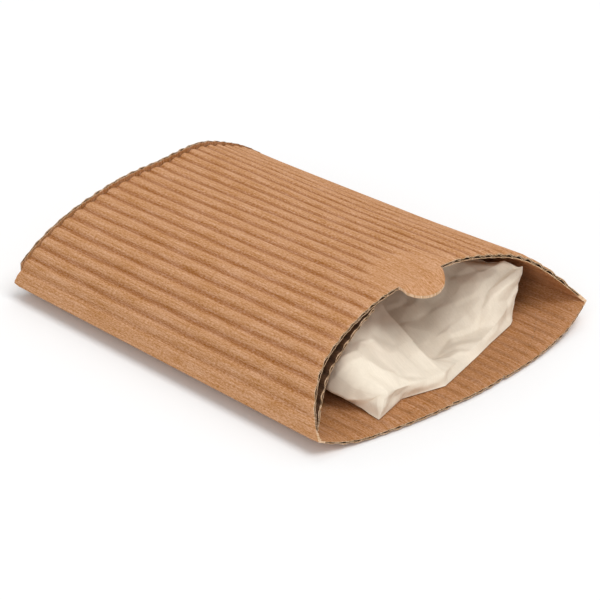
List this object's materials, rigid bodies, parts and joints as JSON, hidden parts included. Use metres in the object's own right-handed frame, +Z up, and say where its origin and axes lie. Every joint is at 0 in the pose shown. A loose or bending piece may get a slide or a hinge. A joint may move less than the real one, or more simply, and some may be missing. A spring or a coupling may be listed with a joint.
{
  "type": "pillow box",
  "caption": "Ribbed kraft pillow box: arched top with a thumb tab, flat base, open front flap, closed back flap and a tissue nest.",
  "frame": {"origin": "on the surface the box rests on, under the middle of the box, halfway between the side creases and halfway between the tips", "axes": "+Z up, the open front faces -Y, the ribs run along Y, the seam lap is on the -X side"},
  "size_m": [0.0868, 0.1083, 0.0243],
  "materials": {
    "kraft_outer": "matte ribbed kraft liner",
    "kraft_fluting": "matte kraft fluting",
    "kraft_inner": "matte kraft liner",
    "glue": "dried glue film",
    "tissue": "crumpled tissue paper"
  },
  "bodies": {
    "box": {"top_panel_outer_liner": "kraft_outer", "top_panel_fluting": "kraft_fluting", "top_panel_inner_liner": "kraft_inner", "bottom_panel_outer_liner": "kraft_outer", "bottom_panel_fluting": "kraft_fluting", "bottom_panel_inner_liner": "kraft_inner", "seam_lap_outer_liner": "kraft_outer", "seam_lap_fluting": "kraft_fluting", "seam_lap_inner_liner": "kraft_inner", "near_side_crease": "kraft_outer", "far_side_crease": "kraft_outer", "thumb_tab": "kraft_outer", "seam_glue_line": "glue", "tissue_paper": "tissue"},
    "front_flap": {"front_flap_outer_liner": "kraft_outer", "front_flap_fluting": "kraft_fluting", "front_flap_inner_liner": "kraft_inner"},
    "back_flap": {"back_flap_outer_liner": "kraft_outer", "back_flap_fluting": "kraft_fluting", "back_flap_inner_liner": "kraft_inner"}
  },
  "joints": [
    {"name": "front_flap_fold", "type": "hinge", "parent": "box", "child": "front_flap", "pos_m": [0, -0.03765, 0.00202], "axis": [-1, 0, 0], "range_deg": [0, 90], "deforming": ["tissue_paper"]},
    {"name": "back_flap_fold", "type": "hinge", "parent": "box", "child": "back_flap", "pos_m": [0, 0.0517, 0.00035], "axis": [-1, 0, 0], "range_deg": [0, 90]}
  ]
}
